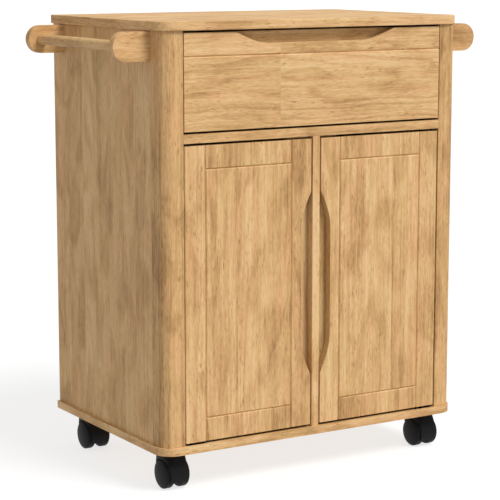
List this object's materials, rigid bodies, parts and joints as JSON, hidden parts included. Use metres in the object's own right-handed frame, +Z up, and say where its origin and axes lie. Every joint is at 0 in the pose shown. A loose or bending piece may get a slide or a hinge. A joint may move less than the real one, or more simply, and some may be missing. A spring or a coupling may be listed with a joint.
{
  "type": "kitchen island cart",
  "caption": "Pine kitchen cart on twin-wheel casters, with a drawer over a cupboard with two frame doors, finger scoops for handles and a towel rail on each side.",
  "frame": {"origin": "centre of the footprint on the floor, under the casters", "axes": "+X to the right as seen from the doors, +Y to the back, +Z up; the doors and drawer open towards -Y"},
  "size_m": [0.723, 0.4, 0.776],
  "materials": {
    "worktop_pine": "satin oiled pine, grain left to right",
    "carcass_pine": "satin oiled pine, upright staves",
    "front_pine": "satin oiled pine",
    "inner_pine": "sanded pine",
    "rail_pine": "turned pine dowel, satin",
    "zinc_steel": "zinc plated",
    "black_steel": "black oxide",
    "brass": "plain",
    "black_nylon": "fine texture, slight sheen",
    "white_nylon": "natural nylon"
  },
  "bodies": {
    "carcass": {"top_board": "worktop_pine", "bottom_board": "carcass_pine", "side_panel_left": "carcass_pine", "side_panel_right": "carcass_pine", "corner_post_left": "carcass_pine", "corner_post_right": "carcass_pine", "back_panel": "carcass_pine", "divider_board": "carcass_pine", "mullion": "carcass_pine", "door_stop_board": "inner_pine", "shelf": "inner_pine", "shelf_pins": "zinc_steel", "slide_spacers": "inner_pine", "slide_channels": "zinc_steel", "hinge_leaves": "black_steel", "hinge_pins": "black_steel", "rail_brackets_left": "carcass_pine", "rail_brackets_right": "carcass_pine", "towel_rail_left": "rail_pine", "towel_rail_right": "rail_pine", "caster_stems": "zinc_steel", "insert_nuts": "brass", "carcass_screws": "zinc_steel"},
    "drawer": {"drawer_front": "front_pine", "drawer_box_front": "inner_pine", "drawer_side_left": "inner_pine", "drawer_side_right": "inner_pine", "drawer_back": "inner_pine", "drawer_bottom": "inner_pine", "drawer_runners": "zinc_steel", "drawer_screws": "zinc_steel"},
    "slide_cages": {"ball_cages": "white_nylon"},
    "left_door": {"left_door_hinge_stile": "front_pine", "left_door_handle_stile": "front_pine", "left_door_top_rail": "front_pine", "left_door_bottom_rail": "front_pine", "left_door_panel": "front_pine", "left_door_pivot_bushes": "black_nylon"},
    "right_door": {"right_door_hinge_stile": "front_pine", "right_door_handle_stile": "front_pine", "right_door_top_rail": "front_pine", "right_door_bottom_rail": "front_pine", "right_door_panel": "front_pine", "right_door_pivot_bushes": "black_nylon"},
    "caster_front_left": {"caster_front_left_housing": "black_nylon", "caster_front_left_axle": "zinc_steel"},
    "caster_front_left_wheel_left": {"caster_front_left_wheel_left": "black_nylon"},
    "caster_front_left_wheel_right": {"caster_front_left_wheel_right": "black_nylon"},
    "caster_front_right": {"caster_front_right_housing": "black_nylon", "caster_front_right_axle": "zinc_steel"},
    "caster_front_right_wheel_left": {"caster_front_right_wheel_left": "black_nylon"},
    "caster_front_right_wheel_right": {"caster_front_right_wheel_right": "black_nylon"},
    "caster_rear_left": {"caster_rear_left_housing": "black_nylon", "caster_rear_left_axle": "zinc_steel"},
    "caster_rear_left_wheel_left": {"caster_rear_left_wheel_left": "black_nylon"},
    "caster_rear_left_wheel_right": {"caster_rear_left_wheel_right": "black_nylon"},
    "caster_rear_right": {"caster_rear_right_housing": "black_nylon", "caster_rear_right_axle": "zinc_steel"},
    "caster_rear_right_wheel_left": {"caster_rear_right_wheel_left": "black_nylon"},
    "caster_rear_right_wheel_right": {"caster_rear_right_wheel_right": "black_nylon"}
  },
  "joints": [
    {"name": "drawer_slide", "type": "slide", "parent": "carcass", "child": "drawer", "axis": [0, -1, 0], "range_m": [0, 0.23]},
    {"name": "cage_slide", "type": "slide", "parent": "carcass", "child": "slide_cages", "axis": [0, -1, 0], "range_m": [0, 0.115]},
    {"name": "left_door_hinge", "type": "hinge", "parent": "carcass", "child": "left_door", "pos_m": [-0.249, -0.1895, 0.3295], "axis": [0, 0, -1], "range_deg": [0, 95]},
    {"name": "right_door_hinge", "type": "hinge", "parent": "carcass", "child": "right_door", "pos_m": [0.249, -0.1895, 0.3295], "axis": [0, 0, 1], "range_deg": [0, 95]},
    {"name": "caster_front_left_swivel", "type": "hinge", "parent": "carcass", "child": "caster_front_left", "pos_m": [-0.258, -0.146, 0.058], "axis": [0, 0, 1], "continuous": true},
    {"name": "caster_front_left_wheel_left_spin", "type": "hinge", "parent": "caster_front_left", "child": "caster_front_left_wheel_left", "pos_m": [-0.27275, -0.152, 0.025], "axis": [1, 0, 0], "continuous": true},
    {"name": "caster_front_left_wheel_right_spin", "type": "hinge", "parent": "caster_front_left", "child": "caster_front_left_wheel_right", "pos_m": [-0.24325, -0.152, 0.025], "axis": [1, 0, 0], "continuous": true},
    {"name": "caster_front_right_swivel", "type": "hinge", "parent": "carcass", "child": "caster_front_right", "pos_m": [0.258, -0.146, 0.058], "axis": [0, 0, 1], "continuous": true},
    {"name": "caster_front_right_wheel_left_spin", "type": "hinge", "parent": "caster_front_right", "child": "caster_front_right_wheel_left", "pos_m": [0.24325, -0.152, 0.025], "axis": [1, 0, 0], "continuous": true},
    {"name": "caster_front_right_wheel_right_spin", "type": "hinge", "parent": "caster_front_right", "child": "caster_front_right_wheel_right", "pos_m": [0.27275, -0.152, 0.025], "axis": [1, 0, 0], "continuous": true},
    {"name": "caster_rear_left_swivel", "type": "hinge", "parent": "carcass", "child": "caster_rear_left", "pos_m": [-0.258, 0.146, 0.058], "axis": [0, 0, 1], "continuous": true},
    {"name": "caster_rear_left_wheel_left_spin", "type": "hinge", "parent": "caster_rear_left", "child": "caster_rear_left_wheel_left", "pos_m": [-0.27275, 0.14, 0.025], "axis": [1, 0, 0], "continuous": true},
    {"name": "caster_rear_left_wheel_right_spin", "type": "hinge", "parent": "caster_rear_left", "child": "caster_rear_left_wheel_right", "pos_m": [-0.24325, 0.14, 0.025], "axis": [1, 0, 0], "continuous": true},
    {"name": "caster_rear_right_swivel", "type": "hinge", "parent": "carcass", "child": "caster_rear_right", "pos_m": [0.258, 0.146, 0.058], "axis": [0, 0, 1], "continuous": true},
    {"name": "caster_rear_right_wheel_left_spin", "type": "hinge", "parent": "caster_rear_right", "child": "caster_rear_right_wheel_left", "pos_m": [0.24325, 0.14, 0.025], "axis": [1, 0, 0], "continuous": true},
    {"name": "caster_rear_right_wheel_right_spin", "type": "hinge", "parent": "caster_rear_right", "child": "caster_rear_right_wheel_right", "pos_m": [0.27275, 0.14, 0.025], "axis": [1, 0, 0], "continuous": true}
  ],
  "couplings": [
    {"joint": "cage_slide", "follows": "drawer_slide", "ratio": 0.5}
  ]
}
